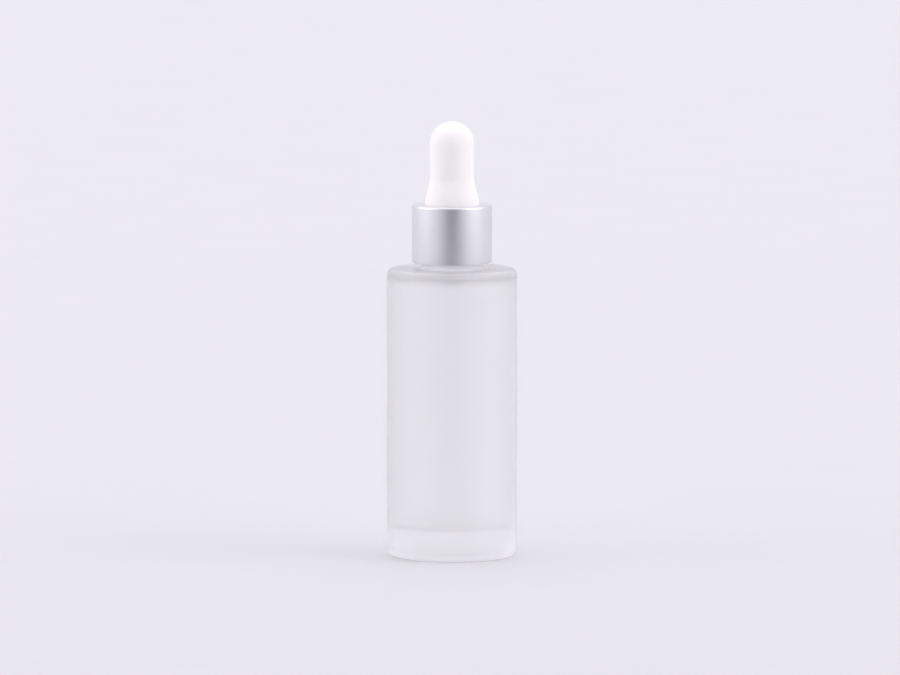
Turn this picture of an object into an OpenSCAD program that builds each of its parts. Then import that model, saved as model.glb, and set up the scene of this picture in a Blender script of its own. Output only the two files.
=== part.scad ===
// Medicine dropper: a round glass bottle with a screw-on cap, a squeeze bulb and a glass pipette.
// The origin is the centre of the bottle's base, +Z is up, and every length is in millimetres.

/* [Bottle] */
// Outside diameter of the bottle
body_d = 33; // [30:0.5:40]
// Height of the flat shoulder above the base
shoulder_z = 73; // [70:0.5:90]
// Rounding of the shoulder's outer edge
shoulder_round = 1.8; // [1:0.1:3]
// Rounding of the heel
heel_round = 2; // [1:0.1:3]
// Thickness of the glass wall
wall = 3.1; // [2:0.1:3.5]
// Thickness of the glass at the shoulder
shoulder_wall = 2.1; // [1.8:0.1:3.5]
// Thickness of the glass base at its edge
base_thickness = 7.6; // [5:0.1:9]
// How far the underside rises in its middle
push_up = 0.7; // [0.3:0.1:1]

/* [Neck and thread] */
// Outside diameter of the neck under its thread
neck_d = 15.7; // [15.5:0.1:15.9]
// Diameter of the hole through the neck
neck_bore_d = 11.6; // [11:0.1:12]
// Rise of the thread in one turn
thread_pitch = 3.175; // [3.1:0.025:3.4]
// How far the bottle's thread stands out of the neck
thread_depth = 0.8; // [0.6:0.05:0.85]
// Turns of thread on the neck
neck_turns = 1.75; // [1.5:0.25:1.75]
// Turns of thread in the cap
cap_turns = 1.25; // [0.75:0.25:1.25]

/* [Cap and collar] */
// Outside diameter of the aluminium collar
collar_d = 20.3; // [20.3:0.1:22]
// Height of the collar
collar_height = 14.6; // [14:0.1:16]
// Gap between the shoulder and the collar
collar_gap = 1.6; // [1:0.1:2]
// Thickness of the aluminium
collar_wall = 0.4; // [0.3:0.05:0.4]
// Rounding of the collar's top edge
collar_round = 0.6; // [0.5:0.05:0.9]
// Thickness of the cap's top
cap_top = 1.0; // [0.8:0.1:1.2]

/* [Bulb] */
// Outside diameter of the bulb's straight part
bulb_d = 11; // [10.4:0.1:11.6]
// Outside diameter of the bulb where it leaves the collar
bulb_foot_d = 13.75; // [13:0.05:13.8]
// Height of the bulb above the collar
bulb_height = 21; // [18:0.5:26]
// Length of the flare above the collar
flare_height = 6.6; // [5:0.1:8]
// Thickness of the rubber
bulb_wall = 1.5; // [1.2:0.1:1.8]

/* [Pipette, wiper and washer] */
// Outside diameter of the glass tube
tube_d = 7; // [6.5:0.1:7]
// Inside diameter of the glass tube
tube_bore_d = 5.2; // [4.6:0.1:5.2]
// Outside diameter of the tip
tip_d = 2.9; // [2.6:0.1:3.2]
// Inside diameter of the tip
tip_bore_d = 1.4; // [1.2:0.1:1.6]
// Gap between the tip and the bottle's floor
tip_gap = 5.4; // [5:0.1:8]
// Length of the wiper's sleeve inside the neck
wiper_length = 9; // [7:0.5:10]
// Thickness of the seal washer
washer_thickness = 0.8; // [0.6:0.1:1]

/* [Hidden] */
$fn = 96;

joint_gap = 0.05;      // between flat faces that only rest on each other
sliding_gap = 0.15;    // round parts that slide past each other
thread_gap = 0.25;     // a thread's crest to the wall it faces
arc_steps = 8;         // straight steps in each quarter-round of an outline
facets_per_turn = 36;  // steps in one turn of a thread
fade_angle = 40;       // turn over which a thread's ends fade out
run_out = -0.15;       // a thread's depth at its very ends, as a share of its full depth
thread_embed = 0.4;    // how far a thread is rooted inside its wall
thread_flank = 0.625;  // half the thread's widening for each millimetre of depth
neck_crest = 0.9;      // width of the crest of the neck's thread
cap_crest = 0.7;       // width of the crest of the cap's thread
flange_thickness = 1.2; // of the bulb, between the cap and the washer
wiper_rim = 0.6;       // thickness of the wiper's rim, which sits on the neck
rim_round = 0.4;       // rounding of the neck's top edges
foot_ring = 2.4;       // width of the flat ring that the bottle stands on
mouth_length = 1.2;    // of the bulb's mouth above the collar, where it grips the glass tube
thread_drop = 1.9;     // from the top of the neck to the middle of the thread's upper end

body_r = body_d / 2;
neck_r = neck_d / 2;
neck_bore_r = neck_bore_d / 2;
cavity_r = body_r - wall;
collar_z = shoulder_z + collar_gap;
collar_top_z = collar_z + collar_height;
collar_r = collar_d / 2;
cap_r = collar_r - collar_wall - joint_gap;
cap_top_z = collar_top_z - collar_wall - joint_gap;
flange_top_z = cap_top_z - cap_top - joint_gap;
flange_z = flange_top_z - flange_thickness;
washer_z = flange_z - joint_gap - washer_thickness;
wiper_top_z = washer_z - joint_gap;
land_z = wiper_top_z - wiper_rim - joint_gap; // the top of the neck
tube_r = tube_d / 2;
tube_bore_r = tube_bore_d / 2;
tip_z = base_thickness + tip_gap;
bulb_r = bulb_d / 2;
bulb_foot_r = bulb_foot_d / 2;
bulb_top_z = collar_top_z + bulb_height;
thread_crest_r = neck_r + thread_depth;
cap_bore_r = thread_crest_r + thread_gap;
cap_thread_depth = cap_bore_r - neck_r - thread_gap;
thread_z = land_z - thread_drop - thread_pitch * neck_turns; // where both threads start

// Points of an arc round [r, z], from angle a to angle b.
function arc(r, z, radius, a, b, steps = arc_steps) =
    [for (i = [0:steps]) let (t = a + (b - a) * i / steps) [r + radius * cos(t), z + radius * sin(t)]];

// Smooth step from 0 to 1 that leaves and arrives level.
function ease(t) = t * t * (3 - 2 * t);

// The share of a thread's depth at an angle along it. Its ends run out just under the wall's surface.
function thread_share(angle, last) =
    let (near_end = min(1, angle / fade_angle, (last - angle) / fade_angle))
    run_out + (1 - run_out) * ease(near_end);

// A right-hand thread swept round +Z. A positive depth stands outward from wall_r and a negative one inward.
// The sweep is rooted inside the wall, so that the two join along a clean edge.
module thread(wall_r, depth, start_angle, turns, crest) {
    steps = ceil(turns * facets_per_turn);
    last = 360 * turns;
    out = sign(depth);
    sides = 4;
    function ring(i) =
        let (
            along = last * i / steps,
            height = abs(depth) * thread_share(along, last),
            turn = start_angle + along,
            z = thread_z + thread_pitch * along / 360,
            half_crest = crest / 2,
            half_root = half_crest + (height + thread_embed) * thread_flank,
            root_r = wall_r - out * thread_embed,
            crest_r = wall_r + out * height
        )
        [for (p = [[root_r, -half_root], [crest_r, -half_crest], [crest_r, half_crest], [root_r, half_root]])
            [p[0] * cos(turn), p[0] * sin(turn), z + p[1]]];
    function side(i, j) =
        let (a = i * sides + j, b = i * sides + (j + 1) % sides, c = b + sides, d = a + sides)
        [[a, b, c], [a, c, d]];
    start_face = [for (j = [sides - 1:-1:0]) j];
    end_face = [for (j = [0:sides - 1]) steps * sides + j];
    faces = concat([for (i = [0:steps - 1], j = [0:sides - 1]) each side(i, j)], [start_face, end_face]);
    function turned(face) = [for (j = [len(face) - 1:-1:0]) face[j]];
    polyhedron(
        [for (i = [0:steps]) each ring(i)],
        out > 0 ? faces : [for (face = faces) turned(face)],
        convexity = 6
    );
}

module bottle() {
    punt_r = body_r - heel_round - foot_ring;
    neck_fillet = 1;
    inner_floor_round = 1.2;
    inner_shoulder_round = 1.5;
    throat_round = 1.2;
    inner_shoulder_z = shoulder_z - shoulder_wall;
    outline = concat(
        [for (i = [0:arc_steps]) let (t = i / arc_steps) [punt_r * t, push_up * (1 - t * t)]],
        arc(body_r - heel_round, heel_round, heel_round, -90, 0),
        arc(body_r - shoulder_round, shoulder_z - shoulder_round, shoulder_round, 0, 90),
        arc(neck_r + neck_fillet, shoulder_z + neck_fillet, neck_fillet, 270, 180, 4),
        arc(neck_r - rim_round, land_z - rim_round, rim_round, 0, 90, 4),
        arc(neck_bore_r + rim_round, land_z - rim_round, rim_round, 90, 180, 4),
        arc(neck_bore_r + throat_round, inner_shoulder_z + throat_round, throat_round, 180, 270, 4),
        arc(cavity_r - inner_shoulder_round, inner_shoulder_z - inner_shoulder_round,
            inner_shoulder_round, 90, 0),
        arc(cavity_r - inner_floor_round, base_thickness + inner_floor_round, inner_floor_round, 0, -90),
        [[0, base_thickness]]
    );
    color([0.93, 0.94, 0.96, 0.6]) {
        rotate_extrude() polygon(outline);
        thread(neck_r, thread_depth, 0, neck_turns, neck_crest);
    }
}

module neck_wiper() {
    press_gap = 0.03;
    rim_inset = 0.15;
    lip_width = 0.45;
    lip_height = 0.5;
    funnel_height = 3;
    funnel_wall = 0.6;
    sleeve_wall = 0.8;
    sleeve_r = neck_bore_r - press_gap;
    rim_r = neck_r - rim_round - rim_inset;
    lip_r = tube_r + sliding_gap;
    bottom_z = land_z - wiper_length;
    outline = [
        [lip_r, bottom_z],
        [lip_r + lip_width, bottom_z],
        [sleeve_r, bottom_z + funnel_height],
        [sleeve_r, land_z + joint_gap],
        [rim_r, land_z + joint_gap],
        [rim_r, wiper_top_z],
        [sleeve_r - sleeve_wall, wiper_top_z],
        [sleeve_r - sleeve_wall, bottom_z + funnel_height + funnel_wall],
        [lip_r, bottom_z + lip_height]
    ];
    color([0.96, 0.96, 0.95]) rotate_extrude() polygon(outline);
}

module seal_washer() {
    color([0.94, 0.94, 0.94]) rotate_extrude()
        translate([tube_r + sliding_gap, washer_z]) square([neck_r - tube_r - sliding_gap, washer_thickness]);
}

module pipette() {
    rise_in_bulb = 4;
    bead = 0.65;
    bead_half = 0.78;
    bead_gap = 1;
    top_z = collar_top_z + rise_in_bulb;
    bead_z = collar_top_z + mouth_length + bead_gap;
    lip = (tube_r - tube_bore_r) / 2;
    tip_r = tip_d / 2;
    tip_bore_r = tip_bore_d / 2;
    tip_lip = (tip_r - tip_bore_r) / 2;
    tip_length = 7;
    taper_length = 11;
    taper_z = tip_z + tip_length;
    taper_steps = 10;
    // The drawn-out taper eases out of the tube and into the tip.
    outer_taper = [for (i = [0:taper_steps]) let (t = i / taper_steps)
        [tip_r + (tube_r - tip_r) * ease(t), taper_z + taper_length * t]];
    inner_taper = [for (i = [taper_steps:-1:0]) let (t = i / taper_steps)
        [tip_bore_r + (tube_bore_r - tip_bore_r) * ease(t), taper_z + taper_length * t]];
    outline = concat(
        arc(tip_r - tip_lip, tip_z + tip_lip, tip_lip, -90, 0, 4),
        outer_taper,
        [for (i = [0:arc_steps]) let (t = i / arc_steps)
            [tube_r + bead * sin(180 * t), bead_z + bead_half * (2 * t - 1)]],
        arc(tube_r - lip, top_z - lip, lip, 0, 180, 6),
        inner_taper,
        arc(tip_bore_r + tip_lip, tip_z + tip_lip, tip_lip, 180, 270, 4)
    );
    color([0.85, 0.9, 0.92, 0.5]) rotate_extrude() polygon(outline);
}

module bulb() {
    flange_overhang = 0.45;
    bead_room = 0.9;
    room_height = 2.4;
    cone_share = 0.4;
    flange_r = neck_r + flange_overhang;
    bore_r = tube_r + joint_gap;
    bore_top_z = collar_top_z + mouth_length;
    dome_z = bulb_top_z - bulb_r;
    chamber_r = bulb_r - bulb_wall;
    bead_room_r = tube_r + bead_room;
    flare_steps = 8;
    // The flare is nearly a straight cone, and eases in at both ends.
    flare = [for (i = [0:flare_steps])
        let (t = i / flare_steps, share = cone_share * t + (1 - cone_share) * ease(t))
        [bulb_foot_r + (bulb_r - bulb_foot_r) * share, collar_top_z + flare_height * t]];
    outline = concat(
        [[bore_r, flange_z], [flange_r, flange_z], [flange_r, flange_top_z], [bulb_foot_r, flange_top_z]],
        flare,
        arc(0, dome_z, bulb_r, 0, 90),
        arc(0, dome_z, chamber_r, 90, 0),
        [
            [chamber_r, collar_top_z + flare_height],
            [bead_room_r, bore_top_z + room_height],
            [bead_room_r, bore_top_z],
            [bore_r, bore_top_z]
        ]
    );
    color("white") rotate_extrude() polygon(outline);
}

module screw_cap() {
    bulb_gap = 0.12;
    collar_overhang = 0.5;
    hole_r = bulb_foot_r + bulb_gap;
    bottom_z = collar_z + collar_overhang;
    under_top_z = cap_top_z - cap_top;
    mouth_chamfer = 0.4;
    outline = [
        [cap_bore_r + mouth_chamfer, bottom_z],
        [cap_r, bottom_z],
        [cap_r, cap_top_z - collar_round],
        [cap_r - collar_round, cap_top_z],
        [hole_r, cap_top_z],
        [hole_r, under_top_z],
        [cap_bore_r, under_top_z],
        [cap_bore_r, bottom_z + mouth_chamfer]
    ];
    color([0.95, 0.95, 0.95]) {
        rotate_extrude() polygon(outline);
        // It starts half a turn round from the neck's thread, so it lies midway between that thread's turns.
        thread(cap_bore_r, -cap_thread_depth, 180, cap_turns, cap_crest);
    }
}

module collar_shell() {
    bulb_gap = 0.1;
    hole_r = bulb_foot_r + bulb_gap;
    inner_round = collar_round - collar_wall;
    outline = concat(
        [[collar_r - collar_wall, collar_z], [collar_r, collar_z]],
        arc(collar_r - collar_round, collar_top_z - collar_round, collar_round, 0, 90),
        [[hole_r, collar_top_z], [hole_r, collar_top_z - collar_wall]],
        arc(collar_r - collar_round, collar_top_z - collar_round, inner_round, 90, 0, 4)
    );
    color([0.75, 0.76, 0.79]) rotate_extrude() polygon(outline);
}

bottle();
neck_wiper();
seal_washer();
pipette();
bulb();
screw_cap();
collar_shell();
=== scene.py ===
"""The looks of a frosted glass dropper bottle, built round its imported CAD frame.

Every piece is turned round +Z, as the real ones are moulded, drawn or spun. Lengths in the outlines are in
millimetres. Heights and radii that the design settles are read from the frame's own boxes, so each piece
stays exactly where its CAD node is.
"""

import math

import bmesh
import bpy
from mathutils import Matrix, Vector


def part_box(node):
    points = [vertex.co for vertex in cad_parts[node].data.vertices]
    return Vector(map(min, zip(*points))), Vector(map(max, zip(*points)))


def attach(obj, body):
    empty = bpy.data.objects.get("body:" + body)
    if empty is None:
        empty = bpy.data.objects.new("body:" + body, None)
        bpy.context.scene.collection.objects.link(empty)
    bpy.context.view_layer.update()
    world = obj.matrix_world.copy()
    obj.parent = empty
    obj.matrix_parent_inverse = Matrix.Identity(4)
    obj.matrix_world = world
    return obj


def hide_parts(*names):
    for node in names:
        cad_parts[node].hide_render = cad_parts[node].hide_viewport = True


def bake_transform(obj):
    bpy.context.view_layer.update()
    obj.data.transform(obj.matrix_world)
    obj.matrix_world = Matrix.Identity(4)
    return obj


MM = 0.001
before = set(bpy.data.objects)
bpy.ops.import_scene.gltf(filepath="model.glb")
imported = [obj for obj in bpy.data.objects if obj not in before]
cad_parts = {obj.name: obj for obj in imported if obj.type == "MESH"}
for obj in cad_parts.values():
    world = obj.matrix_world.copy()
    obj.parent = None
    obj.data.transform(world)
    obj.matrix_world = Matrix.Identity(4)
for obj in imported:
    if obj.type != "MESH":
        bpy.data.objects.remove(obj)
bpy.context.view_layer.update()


# ---------------------------------------------------------------- sizes taken from the frame

def top_of(node):
    """Height of a CAD node's top, in millimetres."""
    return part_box(node)[1].z / MM


def foot_of(node):
    """Height of a CAD node's underside, in millimetres."""
    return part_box(node)[0].z / MM


def radius_of(node):
    """Outer radius of a CAD node, in millimetres."""
    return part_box(node)[1].x / MM


BODY_R = radius_of("bottle")
LAND_Z = top_of("bottle")
COLLAR_R = radius_of("collar_shell")
COLLAR_Z = foot_of("collar_shell")
COLLAR_TOP = top_of("collar_shell")
CAP_R = radius_of("screw_cap")
CAP_Z = foot_of("screw_cap")
CAP_TOP = top_of("screw_cap")
FLANGE_R = radius_of("bulb")
FLANGE_Z = foot_of("bulb")
BULB_TOP = top_of("bulb")
TIP_Z = foot_of("pipette")
TUBE_TOP = top_of("pipette")
WASHER_R = radius_of("seal_washer")
WASHER_Z = foot_of("seal_washer")
WASHER_TOP = top_of("seal_washer")
WIPER_R = radius_of("neck_wiper")
WIPER_Z = foot_of("neck_wiper")
WIPER_TOP = top_of("neck_wiper")

# ---------------------------------------------------------------- sizes that the boxes don't show

SHOULDER_Z = 73.0
WALL = 3.1
SHOULDER_WALL = 2.1
FLOOR_Z = 7.6
NECK_R = 7.85
NECK_BORE_R = 5.8
BULB_R = 5.5
BULB_FOOT_R = 6.875
TUBE_R = 3.5
TUBE_BORE_R = 2.6
CAP_ROOF = 1.0
MOUTH_LENGTH = 1.2
JOINT_GAP = 0.05
SLIDING_GAP = 0.15
HAIR = 0.01  # taken off a rounding that would otherwise end right on the outline's next point

THREAD_PITCH = 3.175
THREAD_DEPTH = 0.8
THREAD_GAP = 0.25  # from a thread's crest to the wall it faces
THREAD_FLANK = 0.625  # half the thread's widening for each millimetre of depth
THREAD_DROP = 1.9  # from the top of the neck to the middle of the thread's upper end
NECK_TURNS = 1.75
CAP_TURNS = 1.25
THREAD_Z = LAND_Z - THREAD_DROP - THREAD_PITCH * NECK_TURNS  # where both threads start
FADE_TURN = 0.14  # share of a turn over which a thread's ends fade out
FLANK_STEPS = (0.0, 0.18, 0.36, 0.64, 0.82, 1.0)  # places of a flank's rows, from its root to its crest
ENDS_WIDTH = 0.3  # a thread's width at its very ends, as a share of its full width


# ---------------------------------------------------------------- outlines

def ease(t):
    """Smooth step from 0 to 1 that leaves and arrives level."""
    t = min(1.0, max(0.0, t))
    return t * t * (3 - 2 * t)


def soften(corners, steps=6):
    """Turns corners given as (r, z, rounding) into the points of an outline with rounded corners."""
    points = []
    for i, (r, z, rounding) in enumerate(corners):
        here = Vector((r, z))
        if rounding == 0:
            points.append((r, z))
            continue
        back = (Vector(corners[i - 1][:2]) - here).normalized()
        ahead = (Vector(corners[(i + 1) % len(corners)][:2]) - here).normalized()
        half = back.angle(ahead) / 2
        middle = here + (back + ahead).normalized() * (rounding / math.sin(half))
        start = here + back * (rounding / math.tan(half)) - middle
        stop = here + ahead * (rounding / math.tan(half)) - middle
        first = math.atan2(start.y, start.x)
        sweep = (math.atan2(stop.y, stop.x) - first + math.pi) % (2 * math.pi) - math.pi
        for k in range(steps + 1):
            angle = first + sweep * k / steps
            points.append((middle.x + rounding * math.cos(angle), middle.y + rounding * math.sin(angle)))
    return points


def curve(steps, function):
    """Points function(t) for t from 0 to 1."""
    return [function(i / steps) for i in range(steps + 1)]


def quarter_dome(radius, z, steps):
    """Points of a dome round (0, z), from its side to its top."""
    half_pi = math.pi / 2
    points = curve(steps, lambda t: (radius * math.cos(half_pi * t), z + radius * math.sin(half_pi * t)))
    return points[:-1] + [(0.0, z + radius)]


# ---------------------------------------------------------------- turned meshes

class Turned:
    """A mesh turned round +Z, made one ring after another from radii and heights in millimetres."""

    def __init__(self, segments):
        self.segments = segments
        self.verts = []
        self.faces = []
        self.face_slots = []
        self.slot = 0
        self.row = None
        self.first_row = None

    def point(self, angle, r, z):
        """Adds one corner and gives its number."""
        self.verts.append((r * math.cos(angle) * MM, r * math.sin(angle) * MM, z * MM))
        return len(self.verts) - 1

    def face(self, *corners):
        """Adds a face, leaving out a corner that repeats the one before it."""
        kept = [c for i, c in enumerate(corners) if c != corners[i - 1]]
        self.faces.append(kept)
        self.face_slots.append(self.slot)

    def join(self, low, high):
        """Faces all round between two rows, either of which may be a single point on the axis."""
        for i in range(self.segments):
            j = (i + 1) % self.segments
            self.face(low[i % len(low)], low[j % len(low)], high[j % len(high)], high[i % len(high)])

    def new_row(self, r, z):
        """A ring of corners, or the single one on the axis where r is 0."""
        if r == 0:
            return [self.point(0, 0, z)]
        return [self.point(2 * math.pi * i / self.segments, r, z) for i in range(self.segments)]

    def ring(self, r, z):
        """Adds a ring and joins it to the last one."""
        row = self.new_row(r, z)
        if self.row:
            self.join(self.row, row)
        else:
            self.first_row = row
        self.row = row

    def outline(self, points):
        """Adds a ring for each (r, z)."""
        for r, z in points:
            self.ring(r, z)

    def close(self):
        """Joins the last ring to the first."""
        self.join(self.row, self.first_row)

    def thread(self, wall_r, depth, start_turn, turns, crest, top_z):
        """A right-hand thread between the last ring and a new one at top_z, on rows that climb with it.

        A positive depth stands outward and a negative one inward. The first turn's rows all start from one
        point, and the last turn's all end in another.
        """
        half_root = crest / 2 + abs(depth) * THREAD_FLANK
        flank = [(half_root + (crest / 2 - half_root) * t, ease(t)) for t in FLANK_STEPS]
        profile = [(-place, height) for place, height in flank] + flank[::-1]
        per_turn = len(profile)
        levels = math.ceil(turns)
        count = levels * per_turn

        def climb(along):
            return THREAD_Z + THREAD_PITCH * along

        def angle(along):
            return 2 * math.pi * (start_turn + along)

        start = self.point(angle(0), wall_r, climb(0))
        end = self.point(angle(levels), wall_r, climb(levels))
        grid = []
        for q in range(count):
            level, k = divmod(q, per_turn)
            place, height = profile[k]
            row = []
            for i in range(self.segments):
                along = level + i / self.segments
                share = ease(along / FADE_TURN) * ease((turns - along) / FADE_TURN)
                width = ENDS_WIDTH + (1 - ENDS_WIDTH) * share
                corner = start
                if along > 0:
                    r = wall_r + depth * share * height
                    corner = self.point(angle(along), r, climb(along) + place * width)
                row.append(corner)
            grid.append(row)
        for q, row in enumerate(grid):
            row.append(grid[q + per_turn][0] if q + per_turn < count else end)

        shift = round(start_turn * self.segments)
        low = self.row[shift:] + self.row[:shift + 1]
        self.row = self.new_row(wall_r, top_z)
        high = self.row[shift:] + self.row[:shift + 1]
        last = self.segments - 1
        for i in range(last):
            self.face(low[i], low[i + 1], grid[0][i + 1], grid[0][i])
        self.face(low[last], low[0], start, grid[per_turn][0], grid[0][last])
        for lower, upper in zip(grid, grid[1:]):
            for i in range(self.segments):
                self.face(lower[i], lower[i + 1], upper[i + 1], upper[i])
        self.face(grid[-1][0], grid[-1][1], high[1], high[0], end)
        for i in range(1, self.segments):
            self.face(grid[-1][i], grid[-1][i + 1], high[i + 1], high[i])

    def finish(self, name, *materials):
        """Makes the object, with its faces turned outward and its real edges kept crisp."""
        mesh = bpy.data.meshes.new(name)
        mesh.from_pydata(self.verts, [], self.faces)
        for material in materials:
            mesh.materials.append(material)
        mesh.polygons.foreach_set("material_index", self.face_slots)
        work = bmesh.new()
        work.from_mesh(mesh)
        bmesh.ops.recalc_face_normals(work, faces=work.faces)
        work.to_mesh(mesh)
        work.free()
        mesh.shade_smooth()
        mesh.set_sharp_from_angle(angle=math.radians(40))
        piece = bpy.data.objects.new(name, mesh)
        bpy.context.scene.collection.objects.link(piece)
        return piece


# ---------------------------------------------------------------- materials

class Shader:
    """A material's node tree, with short ways to add and join its nodes."""

    def __init__(self, name, **sockets):
        self.material = bpy.data.materials.new(name)
        self.material.use_nodes = True
        self.tree = self.material.node_tree
        self.surface = self.tree.nodes["Principled BSDF"]
        self.place = self.tree.nodes.new("ShaderNodeTexCoord").outputs["Object"]
        for key, value in sockets.items():
            self.surface.inputs[key.replace("_", " ")].default_value = value

    def join(self, source, target):
        """Links an output to an input."""
        self.tree.links.new(source, target)

    def drive(self, socket, value):
        """Links an output to one of the surface's own sockets."""
        self.join(value, self.surface.inputs[socket])

    def noise(self, per_mm, detail=2.0, stretch=(1, 1, 1)):
        """Noise with about per_mm lumps to a millimetre, from 0 to 1."""
        mapping = self.tree.nodes.new("ShaderNodeMapping")
        mapping.inputs["Scale"].default_value = stretch
        self.join(self.place, mapping.inputs["Vector"])
        node = self.tree.nodes.new("ShaderNodeTexNoise")
        node.inputs["Scale"].default_value = per_mm / MM
        node.inputs["Detail"].default_value = detail
        self.join(mapping.outputs["Vector"], node.inputs["Vector"])
        return node.outputs["Fac"]

    def cells(self, per_mm):
        """Rounded cells, from 0 at their middles up to about 1 between them."""
        node = self.tree.nodes.new("ShaderNodeTexVoronoi")
        node.inputs["Scale"].default_value = per_mm / MM
        self.join(self.place, node.inputs["Vector"])
        return node.outputs["Distance"]

    def spread(self, value, low, high):
        """Maps a value from 0 to 1 onto low to high."""
        node = self.tree.nodes.new("ShaderNodeMapRange")
        node.inputs["To Min"].default_value = low
        node.inputs["To Max"].default_value = high
        self.join(value, node.inputs["Value"])
        return node.outputs["Result"]

    def mix(self, value, low, high):
        """A colour between two, by a value from 0 to 1."""
        node = self.tree.nodes.new("ShaderNodeMix")
        node.data_type = "RGBA"
        # The colour sockets come after the node's number and vector ones.
        node.inputs[6].default_value = (*low, 1)
        node.inputs[7].default_value = (*high, 1)
        self.join(value, node.inputs[0])
        return node.outputs[2]

    def bump(self, value, height_mm, under=None):
        """Bumps the surface by a value from 0 to 1, height_mm high, on top of an earlier bump."""
        node = self.tree.nodes.new("ShaderNodeBump")
        node.inputs["Distance"].default_value = height_mm * MM
        self.join(value, node.inputs["Height"])
        if under:
            self.join(under, node.inputs["Normal"])
        return node.outputs["Normal"]


def frosted_glass():
    """Acid-etched glass: light comes through, but nothing behind it can be made out."""
    s = Shader("frosted_glass", Base_Color=(1, 1, 1, 1), Transmission_Weight=0.8, IOR=1.5)
    s.drive("Roughness", s.spread(s.noise(0.9, detail=4), 0.34, 0.42))
    clouds = s.bump(s.noise(0.25, detail=2), 0.01)
    s.drive("Normal", s.bump(s.noise(7.0, detail=2), 0.003, under=clouds))
    return s.material


def inner_glass():
    """The inside of the glass, clear and faintly wavy, as the mould and the air blast leave it."""
    s = Shader("inner_glass", Base_Color=(1, 1, 1, 1), Transmission_Weight=1.0, IOR=1.5)
    s.drive("Roughness", s.spread(s.noise(0.3, detail=2), 0.02, 0.05))
    s.drive("Normal", s.bump(s.noise(0.12, detail=1), 0.05))
    return s.material


def clear_glass():
    """Drawn glass tube, clear and polished, with faint draw lines along it."""
    s = Shader("clear_glass", Base_Color=(0.985, 0.995, 0.995, 1), Transmission_Weight=1.0, IOR=1.47)
    s.drive("Roughness", s.spread(s.noise(0.4, detail=2), 0.01, 0.03))
    s.drive("Normal", s.bump(s.noise(1.5, detail=1, stretch=(1, 1, 0.02)), 0.004))
    return s.material


def white_rubber():
    """Soft white silicone with a matte, finely textured skin."""
    s = Shader("white_rubber", Subsurface_Weight=0.3, Subsurface_Scale=0.0015, Specular_IOR_Level=0.3)
    s.surface.inputs["Subsurface Radius"].default_value = (1.0, 0.9, 0.8)
    s.drive("Base Color", s.mix(s.noise(0.35, detail=3), (0.96, 0.94, 0.905), (0.98, 0.955, 0.925)))
    s.drive("Roughness", s.spread(s.noise(1.2, detail=3), 0.5, 0.62))
    skin = s.bump(s.noise(0.8, detail=2), 0.012)
    s.drive("Normal", s.bump(s.noise(6.0, detail=2), 0.005, under=skin))
    return s.material


def satin_aluminium():
    """Bead-blasted, anodised aluminium."""
    s = Shader("satin_aluminium", Metallic=1.0)
    s.drive("Base Color", s.mix(s.noise(0.6, detail=3), (0.765, 0.77, 0.785), (0.795, 0.80, 0.815)))
    s.drive("Roughness", s.spread(s.noise(2.5, detail=3), 0.38, 0.46))
    s.drive("Normal", s.bump(s.noise(8.0, detail=3), 0.003))
    return s.material


def cap_plastic():
    """Moulded white polypropylene, a little waxy."""
    s = Shader("cap_plastic", Subsurface_Weight=0.2, Subsurface_Scale=0.001)
    s.drive("Base Color", s.mix(s.noise(0.4), (0.93, 0.93, 0.935), (0.955, 0.955, 0.96)))
    s.drive("Roughness", s.spread(s.noise(3.0, detail=3), 0.32, 0.46))
    s.drive("Normal", s.bump(s.noise(1.2, detail=2), 0.006))
    return s.material


def wiper_plastic():
    """Soft milky polyethylene that lets some light through."""
    s = Shader("wiper_plastic", Subsurface_Weight=0.5, Subsurface_Scale=0.0015, Transmission_Weight=0.15)
    s.drive("Base Color", s.mix(s.noise(0.5), (0.93, 0.94, 0.94), (0.96, 0.965, 0.965)))
    s.drive("Roughness", s.spread(s.noise(2.0, detail=3), 0.3, 0.42))
    s.drive("Normal", s.bump(s.noise(1.5), 0.005))
    return s.material


def washer_foam():
    """Fine closed-cell foam."""
    s = Shader("washer_foam", Subsurface_Weight=0.3, Subsurface_Scale=0.001)
    cells = s.cells(4.0)
    s.drive("Base Color", s.mix(cells, (0.9, 0.9, 0.89), (0.78, 0.78, 0.77)))
    s.drive("Roughness", s.spread(s.noise(2.0), 0.7, 0.9))
    s.drive("Normal", s.bump(cells, 0.03))
    return s.material


def paper():
    """Pale seamless paper with a faint tooth."""
    s = Shader("paper", Specular_IOR_Level=0.1)
    s.drive("Base Color", s.mix(s.noise(0.03, detail=4), (0.68, 0.68, 0.683), (0.695, 0.695, 0.698)))
    s.drive("Roughness", s.spread(s.noise(0.5), 0.8, 0.9))
    return s.material


# ---------------------------------------------------------------- pieces

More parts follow.
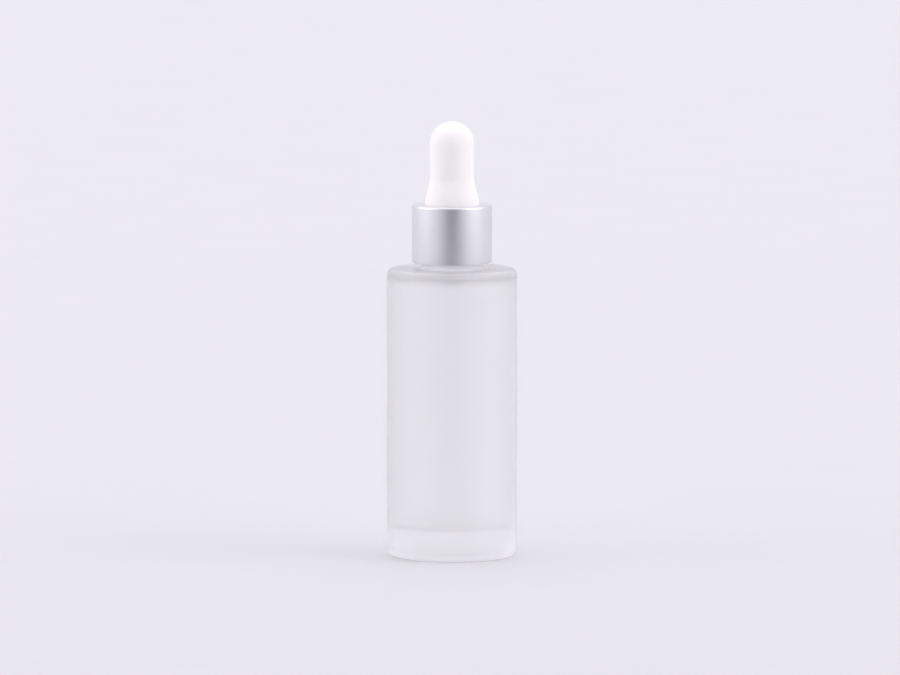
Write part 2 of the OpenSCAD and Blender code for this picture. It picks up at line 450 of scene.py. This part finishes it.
def make_bottle():
    """The glass bottle: etched outside, polished inside, with a thick base and a threaded neck."""
    cavity_r = BODY_R - WALL
    inner_top = SHOULDER_Z - SHOULDER_WALL
    heel_round, shoulder_round, neck_fillet, rim_round = 2.0, 1.8, 1.0, 0.4
    throat_round, inner_shoulder_round, inner_floor_round = 1.2, 1.5, 1.2
    push_up, foot_ring, crest = 0.7, 2.4, 0.9
    punt_r = BODY_R - heel_round - foot_ring
    thread_top = LAND_Z - rim_round
    punt = curve(16, lambda t: (punt_r * t, push_up * (1 - t * t)))
    body = soften([
        (punt_r, 0, 0),
        (BODY_R, 0, heel_round),
        (BODY_R, SHOULDER_Z, shoulder_round),
        (NECK_R, SHOULDER_Z, neck_fillet),
        (NECK_R, thread_top, 0),
    ], steps=12)
    land = soften([
        (NECK_R, thread_top, 0),
        (NECK_R, LAND_Z, rim_round - HAIR),
        (NECK_BORE_R, LAND_Z, rim_round - HAIR),
        (NECK_BORE_R, thread_top, 0),
    ])
    inside = soften([
        (NECK_BORE_R, thread_top, 0),
        (NECK_BORE_R, inner_top, throat_round),
        (cavity_r, inner_top, inner_shoulder_round),
        (cavity_r, FLOOR_Z, inner_floor_round),
        (0, FLOOR_Z, 0),
    ], steps=14)
    glass = Turned(144)
    glass.outline(punt)
    glass.outline(body[1:-1])
    glass.thread(NECK_R, THREAD_DEPTH, 0, NECK_TURNS, crest, thread_top)
    glass.outline(land[1:])
    glass.slot = 1
    glass.outline(inside[1:])
    piece = glass.finish("bottle_glass", frosted_glass(), inner_glass())
    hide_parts("bottle")
    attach(piece, "bottle")


def make_wiper():
    """The soft insert in the neck: a rim that sits on the land, a sleeve, and a funnel to a thin lip."""
    press_gap, sleeve_wall = 0.03, 0.8
    funnel_height, funnel_wall = 3.0, 0.6
    lip_width, lip_height = 0.45, 0.5
    sleeve_r = NECK_BORE_R - press_gap
    lip_r = TUBE_R + SLIDING_GAP
    funnel_z = WIPER_Z + funnel_height
    rim_z = LAND_Z + JOINT_GAP
    wiper = Turned(96)
    wiper.outline(soften([
        (lip_r, WIPER_Z, 0.1),
        (lip_r + lip_width, WIPER_Z, 0.15),
        (sleeve_r, funnel_z, 1.0),
        (sleeve_r, rim_z, 0),
        (WIPER_R, rim_z, 0.12),
        (WIPER_R, WIPER_TOP, 0.2),
        (sleeve_r - sleeve_wall, WIPER_TOP, 0.25),
        (sleeve_r - sleeve_wall, funnel_z + funnel_wall, 1.0),
        (lip_r, WIPER_Z + lip_height, 0.1),
    ]))
    wiper.close()
    piece = wiper.finish("wiper_insert", wiper_plastic())
    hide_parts("neck_wiper")
    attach(piece, "bottle")


def make_washer():
    """The foam washer, with edges that its own squeeze has rounded."""
    hole_r = TUBE_R + SLIDING_GAP
    washer = Turned(96)
    washer.outline(soften([
        (hole_r, WASHER_Z, 0.2),
        (WASHER_R, WASHER_Z, 0.25),
        (WASHER_R, WASHER_TOP, 0.25),
        (hole_r, WASHER_TOP, 0.2),
    ]))
    washer.close()
    piece = washer.finish("foam_washer", washer_foam())
    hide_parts("seal_washer")
    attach(piece, "seal")


def make_pipette():
    """The glass tube, with a bead that the bulb grips and a drawn-out tip."""
    tip_r, tip_bore_r = 1.45, 0.7
    tip_lip = (tip_r - tip_bore_r) / 2 - HAIR
    lip = (TUBE_R - TUBE_BORE_R) / 2 - HAIR
    tip_length, taper = 7, 11
    taper_z = TIP_Z + tip_length
    bead, bead_half, bead_gap = 0.64, 0.78, 1.0
    bead_z = COLLAR_TOP + MOUTH_LENGTH + bead_gap
    tip = soften([
        (tip_bore_r, taper_z, 0),
        (tip_bore_r, TIP_Z, tip_lip),
        (tip_r, TIP_Z, tip_lip),
        (tip_r, taper_z, 0),
    ])
    mouth = soften([
        (TUBE_R, bead_z + bead_half, 0),
        (TUBE_R, TUBE_TOP, lip),
        (TUBE_BORE_R, TUBE_TOP, lip),
        (TUBE_BORE_R, taper_z + taper, 0),
    ])

    def outer_taper(t):
        return tip_r + (TUBE_R - tip_r) * ease(t), taper_z + taper * t

    def bead_bulge(t):
        return TUBE_R + bead * ease(1 - abs(2 * t - 1)), bead_z + bead_half * (2 * t - 1)

    def inner_taper(t):
        return tip_bore_r + (TUBE_BORE_R - tip_bore_r) * ease(1 - t), taper_z + taper * (1 - t)

    tube = Turned(72)
    tube.outline(tip)
    tube.outline(curve(28, outer_taper)[1:])
    tube.outline(curve(16, bead_bulge))
    tube.outline(mouth[1:])
    tube.outline(curve(28, inner_taper)[1:-1])
    tube.close()
    piece = tube.finish("glass_pipette", clear_glass())
    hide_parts("pipette")
    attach(piece, "dropper")


def make_bulb():
    """The squeeze bulb, with its foot in the cap; it is one still mesh, baked in place."""
    wall, flare_height, cone_share, bead_room, room_height = 1.5, 6.6, 0.4, 0.9, 2.4
    bore_r = TUBE_R + JOINT_GAP
    chamber_r = BULB_R - wall
    room_r = TUBE_R + bead_room
    mouth_top = COLLAR_TOP + MOUTH_LENGTH
    flange_top = CAP_TOP - CAP_ROOF - JOINT_GAP
    dome_z = BULB_TOP - BULB_R
    flare_top = COLLAR_TOP + flare_height
    foot = soften([
        (bore_r, COLLAR_TOP, 0),
        (bore_r, FLANGE_Z, 0.25),
        (FLANGE_R, FLANGE_Z, 0.3),
        (FLANGE_R, flange_top, 0.3),
        (BULB_FOOT_R, flange_top, 0.15),
        (BULB_FOOT_R, COLLAR_TOP, 0),
    ])

    def flare(t):
        share = cone_share * t + (1 - cone_share) * ease(t)
        return BULB_FOOT_R + (BULB_R - BULB_FOOT_R) * share, COLLAR_TOP + flare_height * t

    rubber = Turned(112)
    rubber.outline(foot)
    rubber.outline(curve(24, flare)[1:])
    rubber.outline(curve(16, lambda t: (BULB_R, flare_top + (dome_z - flare_top) * t))[1:-1])
    rubber.outline(quarter_dome(BULB_R, dome_z, 24))
    foot_row = rubber.first_row
    rubber.row = None
    rubber.outline(quarter_dome(chamber_r, dome_z, 16)[::-1])
    rubber.outline(curve(12, lambda t: (chamber_r, dome_z + (flare_top - dome_z) * t))[1:])
    rubber.outline(soften([
        (chamber_r, flare_top, 0),
        (room_r, mouth_top + room_height, 0.6),
        (room_r, mouth_top, 0.3),
        (bore_r, mouth_top, 0.2),
        (bore_r, COLLAR_TOP, 0),
    ])[1:-1])
    rubber.join(rubber.row, foot_row)
    piece = rubber.finish("rubber_bulb", white_rubber())
    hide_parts("bulb")
    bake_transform(piece)


def make_cap():
    """The plastic cap inside the collar, with the thread that climbs the neck's."""
    bulb_gap, mouth, crest, top_margin = 0.12, 0.5, 0.7, 0.3
    bore_r = NECK_R + THREAD_DEPTH + THREAD_GAP
    hole_r = BULB_FOOT_R + bulb_gap
    under = CAP_TOP - CAP_ROOF
    bore_foot, bore_top = CAP_Z + mouth, under - top_margin
    shell = soften([
        (hole_r, under, 0.1),
        (hole_r, CAP_TOP, 0.1),
        (CAP_R, CAP_TOP, 0.5),
        (CAP_R, CAP_Z, 0.15),
        (bore_r, CAP_Z, 0.35),
        (bore_r, bore_foot, 0),
    ])
    cap = Turned(144)
    cap.outline(shell)
    cap.thread(bore_r, -THREAD_DEPTH, 0.5, CAP_TURNS, crest, bore_top)
    cap.outline(soften([(bore_r, bore_top, 0), (bore_r, under, 0.2), (hole_r, under, 0)])[1:-1])
    cap.close()
    piece = cap.finish("threaded_cap", cap_plastic())
    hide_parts("screw_cap")
    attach(piece, "cap")


def make_collar():
    """The spun aluminium sleeve over the cap, with a rolled top edge."""
    sheet, top_round, bulb_gap = 0.4, 0.6, 0.1
    hole_r = BULB_FOOT_R + bulb_gap
    shell = Turned(160)
    shell.outline(soften([
        (COLLAR_R - sheet, COLLAR_Z, 0.1),
        (COLLAR_R, COLLAR_Z, 0.12),
        (COLLAR_R, COLLAR_TOP, top_round),
        (hole_r, COLLAR_TOP, 0.12),
        (hole_r, COLLAR_TOP - sheet, 0.1),
        (COLLAR_R - sheet, COLLAR_TOP - sheet, top_round - sheet),
    ], steps=8))
    shell.close()
    piece = shell.finish("aluminium_collar", satin_aluminium())
    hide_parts("collar_shell")
    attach(piece, "cap")


# ---------------------------------------------------------------- studio

LIGHT_TINT = (0.955, 0.932, 1.0)


def make_camera():
    """A long lens a little above the object, so that its uprights stay parallel."""
    side, distance, height, aim_z = -0.0005, 2.5, 0.32, 0.0554
    data = bpy.data.cameras.new("camera")
    data.sensor_width = 36.0
    data.lens = 398.0
    data.clip_start = 0.1
    data.clip_end = 50.0
    camera = bpy.data.objects.new("camera", data)
    place, target = Vector((side, -distance, height)), Vector((side, 0, aim_z))
    camera.location = place
    camera.rotation_euler = (target - place).to_track_quat("-Z", "Y").to_euler()
    bpy.context.scene.collection.objects.link(camera)
    bpy.context.scene.camera = camera


def soft_light(name, azimuth, elevation, brightness, softness, shadow=True):
    """A large, far, soft light. Azimuth 0 is the camera's side and +90 is the right; angles are in degrees.

    Brightness is what white paper that faces the light gets from it, where 1 shows as white. A fill light has
    no shadow of its own: it stands for the light that frosted glass passes on into what it covers.
    """
    data = bpy.data.lights.new(name, "SUN")
    data.energy = brightness * math.pi
    data.angle = math.radians(softness)
    data.color = LIGHT_TINT
    data.use_shadow = shadow
    lamp = bpy.data.objects.new(name, data)
    turn, rise = math.radians(azimuth), math.radians(elevation)
    toward = Vector((math.sin(turn) * math.cos(rise), -math.cos(turn) * math.cos(rise), math.sin(rise)))
    lamp.rotation_euler = toward.to_track_quat("Z", "Y").to_euler()
    lamp.location = toward
    lamp.visible_transmission = False
    bpy.context.scene.collection.objects.link(lamp)


def flat_sheet(name, corners, material):
    """A flat four-cornered sheet of the studio's, which isn't part of the object."""
    mesh = bpy.data.meshes.new(name)
    mesh.from_pydata(corners, [], [(0, 1, 2, 3)])
    mesh.materials.append(material)
    sheet = bpy.data.objects.new(name, mesh)
    bpy.context.scene.collection.objects.link(sheet)
    return sheet


def make_flag():
    """Two dark cards on the camera's side that shade the middle of the collar and the bulb."""
    near, far, half, height, lift = -0.27, -0.95, 0.34, 0.8, 0.0005
    black = Shader("flag_felt", Specular_IOR_Level=0.0, Roughness=1.0)
    black.drive("Base Color", black.mix(black.noise(0.5), (0.13, 0.13, 0.14), (0.17, 0.17, 0.18)))
    flat = [(-half, far, lift), (half, far, lift), (half, near, lift), (-half, near, lift)]
    upright = [(-half, far, lift), (half, far, lift), (half, far, height), (-half, far, height)]
    low_card = flat_sheet("flag_flat", flat, black.material)
    tall_card = flat_sheet("flag_upright", upright, black.material)
    for card in (low_card, tall_card):
        card.visible_camera = False
        card.visible_transmission = False
    # The low card only shows in reflections: the paper under it stays lit.
    low_card.visible_diffuse = False
    low_card.visible_shadow = False


def make_studio():
    """Even light all round, a pale paper floor, the cards and the lamps."""
    world = bpy.data.worlds.new("soft_tent")
    world.use_nodes = True
    background = world.node_tree.nodes["Background"]
    background.inputs["Color"].default_value = (*LIGHT_TINT, 1)
    background.inputs["Strength"].default_value = 0.9
    bpy.context.scene.world = world
    reach = 8.0
    corners = [(-reach, -reach, 0), (reach, -reach, 0), (reach, reach, 0), (-reach, reach, 0)]
    flat_sheet("floor", corners, paper())
    make_flag()
    soft_light("right_key", 72, 30, 0.13, 45)
    soft_light("left_key", -84, 30, 0.07, 45)
    soft_light("right_fill", 72, 30, 0.15, 45, shadow=False)
    soft_light("left_fill", -84, 30, 0.20, 45, shadow=False)
    soft_light("top_fill", 180, 78, 0.12, 60, shadow=False)


make_camera()
make_bottle()
make_wiper()
make_washer()
make_pipette()
make_bulb()
make_cap()
make_collar()
make_studio()

scene = bpy.context.scene
scene.view_settings.view_transform = "Standard"
scene.cycles.max_bounces = 48
scene.cycles.transmission_bounces = 48
scene.cycles.glossy_bounces = 48
scene.cycles.diffuse_bounces = 16
